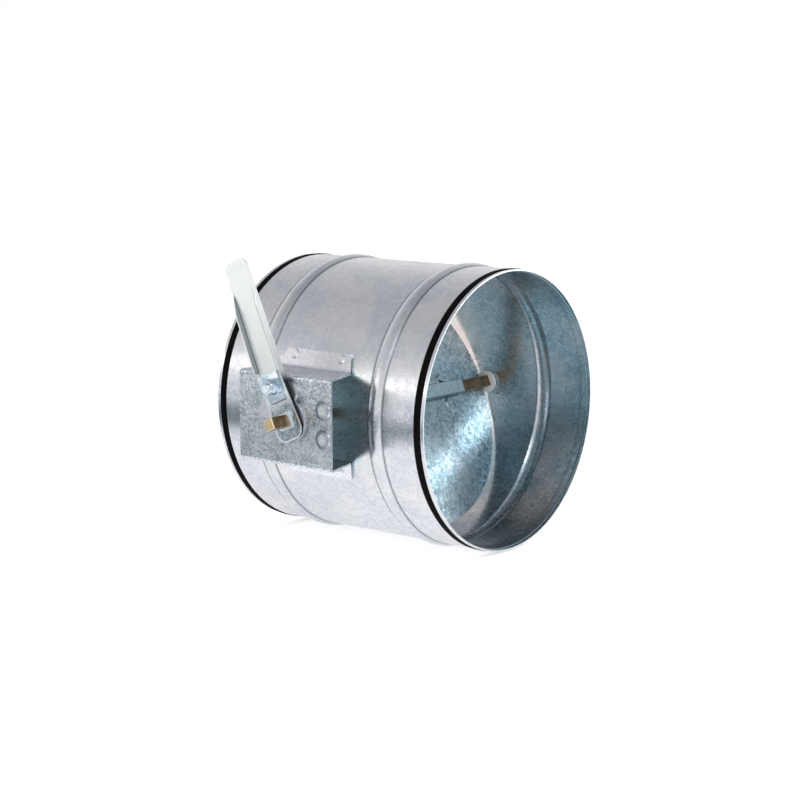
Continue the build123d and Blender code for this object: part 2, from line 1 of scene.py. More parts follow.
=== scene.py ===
"""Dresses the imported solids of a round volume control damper: its finishes and fine detail.

The duct runs along X, the shaft along Y with the lever at -Y, and Z is up. Metres.
"""

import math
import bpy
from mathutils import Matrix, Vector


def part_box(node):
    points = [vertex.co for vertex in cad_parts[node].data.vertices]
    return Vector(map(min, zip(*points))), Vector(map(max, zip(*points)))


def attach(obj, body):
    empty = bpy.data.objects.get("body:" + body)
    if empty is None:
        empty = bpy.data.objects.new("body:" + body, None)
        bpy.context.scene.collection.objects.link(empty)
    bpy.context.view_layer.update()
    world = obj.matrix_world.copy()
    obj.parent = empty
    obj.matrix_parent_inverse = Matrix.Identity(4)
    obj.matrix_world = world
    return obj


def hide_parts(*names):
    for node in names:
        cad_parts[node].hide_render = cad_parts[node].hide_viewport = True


bl_info = {
    "name": "Volume control damper",
    "version": (1, 0, 0),
    "blender": (4, 5, 0),
    "location": "3D View > Sidebar > Damper",
    "description": "Finishes and fine detail for a round duct damper",
    "category": "Object",
}

import bmesh
import bpy
from bpy.props import FloatProperty, FloatVectorProperty, PointerProperty
from bpy.types import Operator, Panel, PropertyGroup
from mathutils import Matrix, Vector

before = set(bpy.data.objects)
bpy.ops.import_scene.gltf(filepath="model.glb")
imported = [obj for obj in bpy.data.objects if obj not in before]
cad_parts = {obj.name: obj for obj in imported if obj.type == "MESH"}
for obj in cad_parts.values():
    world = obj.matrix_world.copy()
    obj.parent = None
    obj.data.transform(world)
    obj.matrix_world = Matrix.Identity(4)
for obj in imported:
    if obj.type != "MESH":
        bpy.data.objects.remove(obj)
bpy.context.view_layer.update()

MM = 0.001
TUBE_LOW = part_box("duct_tube")[0]
GASKET_LOW, GASKET_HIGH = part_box("front_gasket")
STUD_LOW, STUD_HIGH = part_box("lock_stud")
PLATE_LOW, PLATE_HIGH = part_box("hat_bracket")
# The lever's own directions: from the shaft towards its lock, and across it
ALONG = Vector((STUD_LOW.x + STUD_HIGH.x, 0, STUD_LOW.z + STUD_HIGH.z)).normalized()
ACROSS = Vector((ALONG.z, 0, -ALONG.x))


# ---------------------------------------------------------------- settings
class FinishSettings(PropertyGroup):
    """Colours and grain sizes of the metals."""

    tube_light: FloatVectorProperty(
        name="Tube, bright crystals", subtype="COLOR", size=3, min=0, max=1,
        default=(0.68, 0.69, 0.72), description="Colour of the tube's brightest zinc crystals")
    tube_dark: FloatVectorProperty(
        name="Tube, dull crystals", subtype="COLOR", size=3, min=0, max=1,
        default=(0.46, 0.48, 0.53), description="Colour of the tube's dullest zinc crystals")
    # The inside tint is painted shade: a blue-green darkening of the front half of the tube's inner face.
    inside_painted_shade: FloatVectorProperty(
        name="Tube, inside tint", subtype="COLOR", size=3, min=0, max=1,
        default=(0.80, 0.95, 0.98), description="Tint of the tube's inner face")
    bracket_light: FloatVectorProperty(
        name="Bracket, bright crystals", subtype="COLOR", size=3, min=0, max=1,
        default=(0.86, 0.87, 0.89), description="Colour of the bracket's brightest zinc crystals")
    bracket_dark: FloatVectorProperty(
        name="Bracket, dull crystals", subtype="COLOR", size=3, min=0, max=1,
        default=(0.30, 0.36, 0.41), description="Colour of the bracket's dullest zinc crystals")
    blade_light: FloatVectorProperty(
        name="Blade, bright crystals", subtype="COLOR", size=3, min=0, max=1,
        default=(0.62, 0.72, 0.77), description="Colour of the blade's brightest zinc crystals")
    blade_dark: FloatVectorProperty(
        name="Blade, dull crystals", subtype="COLOR", size=3, min=0, max=1,
        default=(0.26, 0.38, 0.43), description="Colour of the blade's dullest zinc crystals")
    tube_crystal: FloatProperty(
        name="Tube crystal size", subtype="DISTANCE", unit="LENGTH", min=0.0005, max=0.02,
        default=3.2 * MM, description="Width of a zinc crystal on the tube")
    bracket_crystal: FloatProperty(
        name="Bracket crystal size", subtype="DISTANCE", unit="LENGTH", min=0.0005, max=0.02,
        default=1.7 * MM, description="Width of a zinc crystal on the bracket")
    blade_crystal: FloatProperty(
        name="Blade crystal size", subtype="DISTANCE", unit="LENGTH", min=0.0005, max=0.02,
        default=2.8 * MM, description="Width of a zinc crystal on the blade")
    plate_colour: FloatVectorProperty(
        name="Zinc plate", subtype="COLOR", size=3, min=0, max=1,
        default=(0.84, 0.86, 0.85), description="Colour of the lever's satin zinc plate")
    bright_colour: FloatVectorProperty(
        name="Bright zinc", subtype="COLOR", size=3, min=0, max=1,
        default=(0.72, 0.79, 0.84), description="Colour of the lock's bright zinc plate")
    yellow_colour: FloatVectorProperty(
        name="Yellow zinc", subtype="COLOR", size=3, min=0, max=1,
        default=(0.80, 0.62, 0.38), description="Colour of the shaft's yellow passivated plate")


class StageSettings(PropertyGroup):
    """Floor, lights and camera."""

    floor_colour: FloatVectorProperty(
        name="Floor", subtype="COLOR", size=3, min=0, max=1,
        default=(0.90, 0.90, 0.90), description="Colour of the floor")
    lens: FloatProperty(
        name="Lens", unit="CAMERA", min=20, max=300, default=92.5,
        description="Focal length of the camera in millimetres")
    key_power: FloatProperty(
        name="Key light", unit="POWER", min=0, max=500, default=2.2,
        description="Power of the large soft light on the lever's side")
    glow_power: FloatProperty(
        name="Inside light", unit="POWER", min=0, max=500, default=8.0,
        description="Power of the soft light that shines into the open end")
    lift_power: FloatProperty(
        name="Wall light", unit="POWER", min=0, max=500, default=9.0,
        description="Power of the wide light that lifts the inside of the lever's wall")
    floor_glow: FloatProperty(
        name="Floor glow", min=0, max=2, default=0.62,
        description="How much the paper shines by itself, as a lit white sweep does")
    world_strength: FloatProperty(
        name="Studio brightness", min=0, max=3, default=1.0,
        description="Strength of the white room round the damper")
    side_card_colour: FloatVectorProperty(
        name="Card beside the lever", subtype="COLOR", size=3, min=0, max=1,
        default=(0.17, 0.235, 0.25), description="Colour of the low card that the bracket reflects")
    end_card_colour: FloatVectorProperty(
        name="Card beyond the open end", subtype="COLOR", size=3, min=0, max=1,
        default=(0.30, 0.37, 0.39), description="Colour of the card that the inside reflects")


# ---------------------------------------------------------------- node trees
class Finish:
    """One material and short calls that add nodes to it."""

    def __init__(self, name, metallic=1.0):
        self.material = bpy.data.materials.new(name)
        self.material.use_nodes = True
        self.tree = self.material.node_tree
        self.shader = self.tree.nodes["Principled BSDF"]
        self.shader.inputs["Metallic"].default_value = metallic
        self.place = self.tree.nodes.new("ShaderNodeTexCoord").outputs["Object"]

    def put(self, socket, value):
        if isinstance(value, bpy.types.NodeSocket):
            self.tree.links.new(value, socket)
        elif isinstance(value, (tuple, list)) and socket.type == "RGBA":
            socket.default_value = (*value[:3], 1.0)
        else:
            socket.default_value = value

    def node(self, kind, inputs, output=0, **settings):
        made = self.tree.nodes.new(kind)
        for key, value in settings.items():
            setattr(made, key, value)
        for key, value in inputs.items():
            self.put(made.inputs[key], value)
        return made.outputs[output]

    def noise(self, size, detail=3.0, roughness=0.55, at=None, distortion=0.0):
        """Soft noise whose blots are about `size` wide."""
        return self.node("ShaderNodeTexNoise", {
            "Vector": at or self.place, "Scale": 1 / size, "Detail": detail,
            "Roughness": roughness, "Distortion": distortion})

    def noise_vector(self, size):
        return self.node("ShaderNodeTexNoise", {
            "Vector": self.place, "Scale": 1 / size, "Detail": 2.0}, output="Color")

    def maths(self, operation, first, second=0.0):
        return self.node("ShaderNodeMath", {0: first, 1: second}, operation=operation)

    def vector(self, operation, first, second=None, scale=None, output="Vector"):
        inputs = {0: first}
        if second is not None:
            inputs[1] = second
        if scale is not None:
            inputs["Scale"] = scale
        return self.node("ShaderNodeVectorMath", inputs, output=output, operation=operation)

    def spread(self, value, low, high, to_low=0.0, to_high=1.0):
        """`to_low` below `low`, `to_high` above `high`, changing evenly between."""
        return self.node("ShaderNodeMapRange", {
            "Value": value, "From Min": low, "From Max": high, "To Min": to_low, "To Max": to_high})

    def fading(self, value, low, high, share=1.0):
        """`share` below `low`, falling to nought at `high`."""
        return self.spread(value, low, high, share, 0.0)

    def mix(self, share, first, second, blend="MIX"):
        """The first colour, with this share of the second."""
        made = self.tree.nodes.new("ShaderNodeMix")
        made.data_type = "RGBA"
        made.blend_type = blend
        self.put(made.inputs[0], share)
        self.put(made.inputs[6], first)
        self.put(made.inputs[7], second)
        return made.outputs[2]

    def blend(self, share, first, second):
        """The first number, with this share of the second."""
        made = self.tree.nodes.new("ShaderNodeMix")
        made.data_type = "FLOAT"
        self.put(made.inputs[0], share)
        self.put(made.inputs[2], first)
        self.put(made.inputs[3], second)
        return made.outputs[0]

    def axis(self, name, at=None):
        return self.node("ShaderNodeSeparateXYZ", {0: at or self.place}, output=name)

    def facing(self):
        """The direction that the surface faces."""
        return self.tree.nodes.new("ShaderNodeTexCoord").outputs["Normal"]

    def faces_y(self):
        """One where the surface is square to the shaft, nought where it runs along it."""
        return self.size_of(self.axis("Y", self.facing()))

    def along(self, direction):
        """How far a point lies from the shaft's axis in a direction."""
        return self.vector("DOT_PRODUCT", self.place, tuple(direction), output="Value")

    def size_of(self, value):
        return self.maths("ABSOLUTE", value)

    def distance(self, first, second):
        """The distance that two lengths at right angles make."""
        return self.maths("SQRT", self.maths("ADD", self.both(first, first), self.both(second, second)))

    def line(self, value, middle, width):
        """One on a line where the value is `middle`, falling to nought at `width` from it."""
        off = self.size_of(self.maths("SUBTRACT", value, middle))
        return self.fading(off, 0.3 * width, width)

    def both(self, first, second):
        """Two shares, multiplied."""
        return self.maths("MULTIPLY", first, second)

    def rest_of(self, share):
        return self.maths("SUBTRACT", 1.0, share)

    def stretched(self, x, y, z):
        """The place, scaled so that noise draws out along the axes with small numbers."""
        return self.vector("MULTIPLY", self.place, (x, y, z))

    def bump(self, height, strength, distance, normal=None):
        inputs = {"Height": height, "Strength": strength, "Distance": distance}
        if normal is not None:
            inputs["Normal"] = normal
        return self.node("ShaderNodeBump", inputs)

    def set(self, **inputs):
        """Sets the shader's inputs, with _ for a space."""
        for key, value in inputs.items():
            self.put(self.shader.inputs[key.replace("_", " ")], value)
        return self.material


def mottled(finish, colour, dark, size, amount):
    """Adds dark specks and streaks, as crystals that lean away from the light."""
    specks = finish.noise(size, detail=5.0, roughness=0.75, distortion=1.4)
    return finish.mix(finish.both(finish.spread(specks, 0.47, 0.60), amount), colour, dark)


def crystals(finish, size, sharpness):
    """Returns a value from nought to one for each zinc crystal, feathered inside."""
    bend = finish.vector("SUBTRACT", finish.noise_vector(size * 0.8), (0.5, 0.5, 0.5))
    at = finish.vector("ADD", finish.place, finish.vector("SCALE", bend, scale=size * 0.9))
    cell = finish.node("ShaderNodeTexVoronoi", {"Vector": at, "Scale": 1 / size}, output="Color")
    small = finish.node("ShaderNodeTexVoronoi", {"Vector": at, "Scale": 2.3 / size}, output="Color")
    tone = finish.node("ShaderNodeSeparateColor", {0: cell}, output="Red")
    fine = finish.node("ShaderNodeSeparateColor", {0: small}, output="Green")
    feather = finish.noise(size * 0.5, detail=5.0, roughness=0.75, distortion=1.6)
    mixed = finish.blend(0.35, tone, fine)
    mixed = finish.blend(0.45, mixed, feather)
    return finish.spread(mixed, 0.5 - 0.5 / sharpness, 0.5 + 0.5 / sharpness)


# Widths of the marks on galvanised sheet, and the depths of its relief
CLOUD_SIZE, MARK_SIZE, WAVE_SIZE = 30.0 * MM, 2.2 * MM, 45.0 * MM
WAVE_DEPTH, CRYSTAL_DEPTH, MARK_DEPTH = 1.6 * MM, 0.12 * MM, 0.06 * MM


def galvanised(name, light, dark, size, sharpness, rough, wave, tilt):
    """Zinc-coated sheet: crystals that differ in brightness and gloss, rolling marks and slight waves.

    `rough` is the roughness of the brightest and of the dullest crystals, `wave` and `tilt` how
    strongly the sheet waves and its crystals lean. The finish keeps its colour for what goes over it.
    """
    finish = Finish(name)
    light, dark = tuple(light), tuple(dark)
    tone = crystals(finish, size, sharpness)
    cloud = finish.noise(CLOUD_SIZE, detail=3.0)
    colour = finish.mix(tone, dark, light)
    colour = finish.mix(finish.spread(cloud, 0.35, 0.7, 0.0, 0.35), colour, finish.mix(0.5, light, dark))
    marks = finish.noise(MARK_SIZE, detail=2.0, at=finish.stretched(0.06, 1.0, 1.0))
    colour = finish.mix(finish.spread(marks, 0.55, 0.75, 0.0, 0.18), colour, light)
    gloss = finish.spread(tone, 0.0, 1.0, rough[1], rough[0])
    gloss = finish.blend(0.25, gloss, finish.spread(marks, 0.3, 0.7, rough[0], rough[1]))
    waves = finish.bump(finish.noise(WAVE_SIZE, detail=1.5), wave, WAVE_DEPTH)
    leaning = finish.bump(tone, tilt, CRYSTAL_DEPTH, waves)
    normal = finish.bump(marks, 0.08, MARK_DEPTH, leaning)
    finish.set(Base_Color=colour, Roughness=gloss, Normal=normal)
    finish.colour = colour
    return finish


def paint(nodes, material):
    """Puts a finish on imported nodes."""
    for node in nodes:
        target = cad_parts[node]
        target.data.materials.clear()
        target.data.materials.append(material)


# ---------------------------------------------------------------- tube
# The tube's two beads, and the edges of the seats pressed in for its gaskets
BEAD_AT, BEAD_HALF = 53.0 * MM, 6.0 * MM
SEAT_PLAY = 0.25 * MM
SEAT_EDGES = (GASKET_LOW.x - SEAT_PLAY, GASKET_HIGH.x + SEAT_PLAY)
# Widths and colours of the painted shade in the beads' roots and the seats' corners
BEAD_SHADE_WIDTH, SEAT_SHADE_WIDTH = 1.1 * MM, 0.8 * MM
BEAD_ROOT_SHADE, SEAT_CORNER_SHADE = (0.12, 0.15, 0.17), (0.10, 0.17, 0.19)
TUBE_CLOUD_SIZE = 45.0 * MM
WARM_PATCH = (0.80, 0.77, 0.72)
# The speckled belt on the lever's side, a painted dark reflection: heights at which it starts to fade and
# is gone
BELT_FULL, BELT_GONE, BELT_SHARE = 6.0 * MM, 22.0 * MM, 0.75
BELT_REFLECTION_SPECK, BELT_SPECK_SIZE = (0.30, 0.36, 0.46), 2.6 * MM
# Inside, where the front half's cast, a painted blue-green shade and reflection, begins and is full
FRONT_FROM, FRONT_FULL = -12.0 * MM, 6.0 * MM
FRONT_LIGHT, FRONT_SHADE_SPECK, FRONT_SPECK_SIZE = (1.0, 0.99, 0.97), (0.12, 0.24, 0.30), 3.8 * MM
# The heights between which the back half's painted light turns from bright to warm
WARM_FROM, WARM_FULL = -10.0 * MM, 15.0 * MM
BACK_PAINTED_LIGHT, BACK_PAINTED_WARM = (0.95, 0.95, 0.94), (0.84, 0.70, 0.63)
# Half the length and half the height of the shade under the bracket, full and gone
SHADE_LENGTH, SHADE_HEIGHT = (38.0 * MM, 44.0 * MM), (28.0 * MM, 34.0 * MM)
SHADE_COLOUR = (0.50, 0.62, 0.65)


def tube_outside(finish, colour, cloud, outside):
    """Warmer patches, and a speckled belt of painted dark reflection along the lever's side."""
    patches = finish.both(outside, finish.spread(cloud, 0.45, 0.65, 0.0, 0.35))
    colour = finish.mix(patches, colour, WARM_PATCH)
    height = finish.size_of(finish.axis("Z"))
    lever_side = finish.maths("LESS_THAN", finish.axis("Y"), 0.0)
    belt = finish.both(finish.fading(height, BELT_FULL, BELT_GONE, BELT_SHARE), lever_side)
    return mottled(finish, colour, BELT_REFLECTION_SPECK, BELT_SPECK_SIZE, finish.both(belt, outside))


def tube_inside_painted_light(finish, colour, cloud, inside, tint):
    """A blue-green cast of painted shade and reflection, cloudy and speckled, in the front half; painted
    light, bright to warm, in the back half.
    """
    front = finish.both(inside, finish.spread(finish.axis("X"), FRONT_FROM, FRONT_FULL))
    cast = finish.mix(finish.spread(cloud, 0.36, 0.62), tint, FRONT_LIGHT)
    colour = finish.mix(front, colour, finish.mix(1.0, colour, cast, "MULTIPLY"))
    specks = finish.both(front, finish.fading(cloud, 0.40, 0.60, 0.65))
    colour = mottled(finish, colour, FRONT_SHADE_SPECK, FRONT_SPECK_SIZE, specks)
    back = finish.both(inside, finish.rest_of(front))
    height = finish.spread(finish.axis("Z"), WARM_FROM, WARM_FULL)
    return finish.mix(finish.both(back, 0.6), colour, finish.mix(height, BACK_PAINTED_LIGHT, BACK_PAINTED_WARM))


def tube_painted_shade(finish, colour, inside):
    """Painted shade in the roots of the beads and in the seats' corners, and the painted shade under the
    bracket.
    """
    x = finish.axis("X")
    from_bead = finish.size_of(finish.maths("SUBTRACT", finish.size_of(x), BEAD_AT))
    roots = finish.both(finish.line(from_bead, BEAD_HALF, BEAD_SHADE_WIDTH), 0.75)
    colour = finish.mix(roots, colour, BEAD_ROOT_SHADE)
    for edge in SEAT_EDGES:
        corner = finish.both(finish.line(finish.size_of(x), edge, SEAT_SHADE_WIDTH), inside)
        colour = finish.mix(finish.both(corner, 0.85), colour, SEAT_CORNER_SHADE)
    plate_middle = (PLATE_LOW.x + PLATE_HIGH.x) / 2
    along = finish.fading(finish.size_of(finish.maths("SUBTRACT", x, plate_middle)), *SHADE_LENGTH)
    up = finish.fading(finish.size_of(finish.axis("Z")), *SHADE_HEIGHT)
    lever_side = finish.maths("LESS_THAN", finish.axis("Y"), 0.0)
    under = finish.both(along, finish.both(up, lever_side))
    return finish.mix(finish.both(under, 0.8), colour, SHADE_COLOUR)


class DAMPER_OT_tube(Operator):
    """Finishes the tube: zinc crystals, an inside tinted with painted shade and painted light, and painted
    shade in its beads and seats
    """

    bl_idname = "damper.tube"
    bl_label = "Tube"

    def execute(self, context):
        colours = context.scene.damper_finish
        finish = galvanised(
            "tube_zinc", colours.tube_light, colours.tube_dark, colours.tube_crystal,
            sharpness=1.2, rough=(0.20, 0.36), wave=0.30, tilt=0.06)
        outward = finish.vector("MULTIPLY", finish.place, (0.0, 1.0, 1.0))
        lean = finish.vector("DOT_PRODUCT", finish.facing(), outward, output="Value")
        inside = finish.maths("LESS_THAN", lean, 0.0)
        cloud = finish.noise(TUBE_CLOUD_SIZE, detail=3.0, distortion=0.6)
        colour = tube_outside(finish, finish.colour, cloud, finish.rest_of(inside))
        colour = tube_inside_painted_light(finish, colour, cloud, inside, tuple(colours.inside_painted_shade))
        finish.set(Base_Color=tube_painted_shade(finish, colour, inside))
        paint(("duct_tube",), finish.material)
        return {"FINISHED"}


# ---------------------------------------------------------------- gaskets
RUBBER_SPECK_SIZE, RUBBER_DUST_SIZE, RUBBER_DEPTH = 1.2 * MM, 20.0 * MM, 0.1 * MM
RUBBER, DUSTY_RUBBER = (0.002, 0.002, 0.002), (0.008, 0.008, 0.009)


class DAMPER_OT_gaskets(Operator):
    """Finishes the two rubber gaskets"""

    bl_idname = "damper.gaskets"
    bl_label = "Gaskets"

    def execute(self, context):
        finish = Finish("gasket_rubber", metallic=0.0)
        speck = finish.noise(RUBBER_SPECK_SIZE, detail=4.0)
        dust = finish.noise(RUBBER_DUST_SIZE, detail=3.0)
        colour = finish.mix(finish.spread(dust, 0.5, 0.8, 0.0, 0.5), RUBBER, DUSTY_RUBBER)
        finish.set(Base_Color=colour, Roughness=finish.spread(speck, 0.3, 0.7, 0.75, 0.9),
                   Specular_IOR_Level=0.06, Normal=finish.bump(speck, 0.2, RUBBER_DEPTH))
        paint(("front_gasket", "rear_gasket"), finish.material)
        return {"FINISHED"}


# ---------------------------------------------------------------- bracket
BRACKET_CLOUD_SIZE = 18.0 * MM
BRACKET_SPECK, BRACKET_SPECK_SIZE = (0.13, 0.19, 0.24), 2.4 * MM
# Half the height at which the plate starts to turn into the bent walls, and at which it has
BEND_FROM, BEND_FULL = 31.2 * MM, 32.5 * MM
# Colour of the smooth walls, and the painted blue-green shade of the hollow
SMOOTH_COLOUR, HOLLOW_SHADE = (0.74, 0.73, 0.77), (0.58, 0.71, 0.73)
# The bracket's two pressings, with a painted highlight on top and a painted shade ring that is darkest on
# the side towards -X
PRESSING_AT, PRESSING_HALF_PITCH, PRESSING_RADIUS = 31.0 * MM, 10.0 * MM, 5.6 * MM
RING_WIDTH, RING_DARK_TO, RING_FAINT_FROM = 2.2 * MM, -3.0 * MM, 4.0 * MM
PRESSING_HIGHLIGHT, PRESSING_SHADE_RING = (0.86, 0.87, 0.88), (0.10, 0.14, 0.20)


class DAMPER_OT_bracket(Operator):
    """Finishes the hat bracket and its rivets"""

    bl_idname = "damper.bracket"
    bl_label = "Hat bracket"

    def execute(self, context):
        colours = context.scene.damper_finish
        finish = galvanised(
            "bracket_zinc", colours.bracket_light, colours.bracket_dark, colours.bracket_crystal,
            sharpness=2.6, rough=(0.20, 0.42), wave=0.18, tilt=0.45)
        height = finish.size_of(finish.axis("Z"))
        cloud = finish.noise(BRACKET_CLOUD_SIZE, detail=3.0)
        colour = mottled(finish, finish.colour, BRACKET_SPECK, BRACKET_SPECK_SIZE,
                         finish.spread(cloud, 0.35, 0.65, 0.15, 0.80))
        # The bent walls and the feet were stretched smooth.
        smooth = finish.spread(height, BEND_FROM, BEND_FULL)
        colour = finish.mix(finish.both(smooth, 0.8), colour, SMOOTH_COLOUR)
        # The two pressings: a painted highlight on top, painted shade round their foot.
        side = finish.maths("SUBTRACT", finish.axis("X"), PRESSING_AT)
        away = finish.distance(finish.maths("SUBTRACT", height, PRESSING_HALF_PITCH), side)
        top = finish.fading(away, 0.3 * PRESSING_RADIUS, 0.8 * PRESSING_RADIUS, 0.6)
        colour = finish.mix(top, colour, PRESSING_HIGHLIGHT)
        ring = finish.both(finish.line(away, PRESSING_RADIUS, RING_WIDTH),
                           finish.spread(side, RING_DARK_TO, RING_FAINT_FROM, 0.85, 0.10))
        colour = finish.mix(ring, colour, PRESSING_SHADE_RING)
        # Faces turned towards the tube, as in the hollow, get a painted blue-green shade.
        hollow = finish.spread(finish.axis("Y", finish.facing()), 0.2, 0.5)
        finish.set(Base_Color=finish.mix(hollow, colour, HOLLOW_SHADE))
        paint(("hat_bracket", "foot_rivets"), finish.material)
        return {"FINISHED"}


# ---------------------------------------------------------------- blade
BLADE_CLOUD_SIZE = 40.0 * MM
BLADE_SPECK, BLADE_SPECK_SIZE, STRAP_SPECK_SIZE = (0.08, 0.17, 0.22), 5.5 * MM, 5.0 * MM
# Half the width of the channel in the blade's strap, the step to its flanges, and the width of the painted
# shade along its bends
CHANNEL_HALF, CHANNEL_STEP, BEND_WIDTH = 5.3 * MM, 0.4 * MM, 0.9 * MM
# Colour of the channel, and of the painted shade in its bends
CHANNEL_COLOUR, BEND_SHADE = (0.40, 0.51, 0.55), (0.07, 0.12, 0.14)


class DAMPER_OT_blade(Operator):
    """Finishes the blade, its strap and its rivets"""

    bl_idname = "damper.blade"
    bl_label = "Blade"

    def execute(self, context):
        colours = context.scene.damper_finish
        finish = galvanised(
            "blade_zinc", colours.blade_light, colours.blade_dark, colours.blade_crystal,
            sharpness=1.7, rough=(0.18, 0.36), wave=0.35, tilt=0.25)
        cloud = finish.noise(BLADE_CLOUD_SIZE, detail=3.0, distortion=0.8)
        finish.set(Base_Color=mottled(finish, finish.colour, BLADE_SPECK, BLADE_SPECK_SIZE,
                                      finish.spread(cloud, 0.40, 0.62, 0.85, 0.30)))
        paint(("blade",), finish.material)
        strap = galvanised(
            "strap_zinc", colours.blade_light, colours.blade_dark, colours.blade_crystal,
            sharpness=1.3, rough=(0.22, 0.38), wave=0.15, tilt=0.15)
        # The raised channel is stretched smooth, and its bends get a painted dark shade line.
        up = strap.size_of(strap.along(ALONG))
        flange = strap.spread(up, CHANNEL_HALF, CHANNEL_HALF + CHANNEL_STEP)
        channel = strap.maths("SUBTRACT", 0.5, strap.both(flange, 0.5))
        colour = strap.mix(channel, strap.colour, CHANNEL_COLOUR)
        colour = mottled(strap, colour, BLADE_SPECK, STRAP_SPECK_SIZE, strap.both(flange, 0.8))
        bend = strap.both(strap.line(up, CHANNEL_HALF, BEND_WIDTH), 0.8)
        strap.set(Base_Color=strap.mix(bend, colour, BEND_SHADE))
        paint(("blade_strap", "strap_rivets"), strap.material)
        return {"FINISHED"}


# ---------------------------------------------------------------- lever
PLATE_CLOUD_SIZE, PLATE_GRAIN_SIZE = 12.0 * MM, 0.9 * MM
PLATE_GRAIN_DEPTH, PLATE_CLOUD_DEPTH = 0.04 * MM, 0.1 * MM
# The lever's outline: half its width at the shaft, how fast that narrows, and its rounded low end
LEVER_HALF_WIDTH, LEVER_TAPER = 12.3 * MM, 0.0129
LEVER_END, LOW_CORNER = -14.0 * MM, 8.0 * MM
# The rim's wall, and the width of the painted shade in its corner
RIM_WALL, RIM_SHADE_WIDTH = 1.5 * MM, 0.7 * MM
# Distances from the shaft at which the painted shade inside the rim begins, is full, starts to fade and is
# gone
RIM_SHADE_FROM, RIM_SHADE_FULL, RIM_SHADE_UNTIL, RIM_SHADE_GONE = 30.0 * MM, 36.0 * MM, 93.0 * MM, 98.0 * MM
# Colour of the painted shade inside the rim
RIM_SHADE = (0.14, 0.17, 0.18)
# The speckled field round the shaft's collar, a painted dark reflection, and where it fades towards the
# lock
COLLAR_HALF, COLLAR_STEP = 5.4 * MM, 0.4 * MM
FIELD_FULL, FIELD_GONE = 8.0 * MM, 16.0 * MM
FIELD_REFLECTION, FIELD_REFLECTION_SPECK, FIELD_SPECK_SIZE = (0.36, 0.42, 0.48), (0.08, 0.13, 0.19), 3.0 * MM
# How far inside the outline the field ends and the painted shade on the sheared edge begins
FIELD_INSET, EDGE_INSET, EDGE_FULL_INSET = 1.5 * MM, 0.9 * MM, 0.7 * MM
# Distances from the shaft between which the painted shade on the edge fades
EDGE_FULL, EDGE_GONE = 26.0 * MM, 34.0 * MM
# Colour of the painted shade on the edge over the plate
EDGE_SHADE = (0.02, 0.025, 0.03)
QUADRANT_LIGHT, QUADRANT_DARK, QUADRANT_CRYSTAL = (0.74, 0.73, 0.77), (0.54, 0.55, 0.60), 2.2 * MM


def rim_shade(finish, colour, up, side):
    """Painted shade in the corner inside the lever's rim."""
    corner = finish.maths("SUBTRACT", LEVER_HALF_WIDTH - RIM_WALL, finish.both(up, LEVER_TAPER))
    rim = finish.line(finish.maths("SUBTRACT", finish.size_of(side), corner), 0.0, RIM_SHADE_WIDTH)
    reach = finish.both(finish.spread(up, RIM_SHADE_FROM, RIM_SHADE_FULL),
                        finish.fading(up, RIM_SHADE_UNTIL, RIM_SHADE_GONE))
    return finish.mix(finish.both(finish.both(rim, reach), 0.85), colour, RIM_SHADE)


def low_end(finish, colour, up, side):
    """A painted dark reflection, speckled, round the shaft, and painted shade on the sheared edge over the
    plate.
    """
    over_side = finish.maths("SUBTRACT", finish.size_of(side), LEVER_HALF_WIDTH - LOW_CORNER)
    over_end = finish.maths("SUBTRACT", LEVER_END + LOW_CORNER, up)
    reach = finish.distance(finish.maths("MAXIMUM", over_side, 0.0), finish.maths("MAXIMUM", over_end, 0.0))
    within = finish.fading(reach, LOW_CORNER - FIELD_INSET, LOW_CORNER - EDGE_INSET)
    from_shaft = finish.maths("MAXIMUM", finish.size_of(side), finish.size_of(up))
    field = finish.both(finish.fading(up, FIELD_FULL, FIELD_GONE), within)
    field = finish.both(field, finish.spread(from_shaft, COLLAR_HALF, COLLAR_HALF + COLLAR_STEP))
    colour = finish.mix(finish.both(field, 0.75), colour, FIELD_REFLECTION)
    colour = mottled(finish, colour, FIELD_REFLECTION_SPECK, FIELD_SPECK_SIZE, field)
    edge = finish.both(finish.spread(reach, LOW_CORNER - EDGE_INSET, LOW_CORNER - EDGE_FULL_INSET),
                       finish.fading(finish.faces_y(), 0.3, 0.5))
    edge = finish.both(edge, finish.fading(up, EDGE_FULL, EDGE_GONE))
    return finish.mix(edge, colour, EDGE_SHADE)


class DAMPER_OT_lever(Operator):
    """Finishes the lever, the quadrant and the quadrant's rivets"""

    bl_idname = "damper.lever"
    bl_label = "Lever and quadrant"

    def execute(self, context):
        colour = tuple(context.scene.damper_finish.plate_colour)
        finish = Finish("zinc_plate")
        cloud = finish.noise(PLATE_CLOUD_SIZE, detail=4.0)
        grain = finish.noise(PLATE_GRAIN_SIZE, detail=3.0, at=finish.stretched(1.0, 1.0, 0.12))
        dull = tuple(0.90 * part for part in colour)
        base = finish.mix(finish.spread(cloud, 0.35, 0.7, 0.0, 0.6), colour, dull)
        up, side = finish.along(ALONG), finish.along(ACROSS)
        base = low_end(finish, rim_shade(finish, base, up, side), up, side)
        clouds = finish.bump(cloud, 0.08, PLATE_CLOUD_DEPTH)
        finish.set(Base_Color=base, Roughness=finish.spread(grain, 0.3, 0.7, 0.34, 0.46),
                   Normal=finish.bump(grain, 0.10, PLATE_GRAIN_DEPTH, clouds))
        paint(("lever",), finish.material)
        quadrant = galvanised("quadrant_zinc", QUADRANT_LIGHT, QUADRANT_DARK, QUADRANT_CRYSTAL,
                              sharpness=1.2, rough=(0.28, 0.42), wave=0.10, tilt=0.08)
        paint(("quadrant", "quadrant_rivets"), quadrant.material)
        return {"FINISHED"}


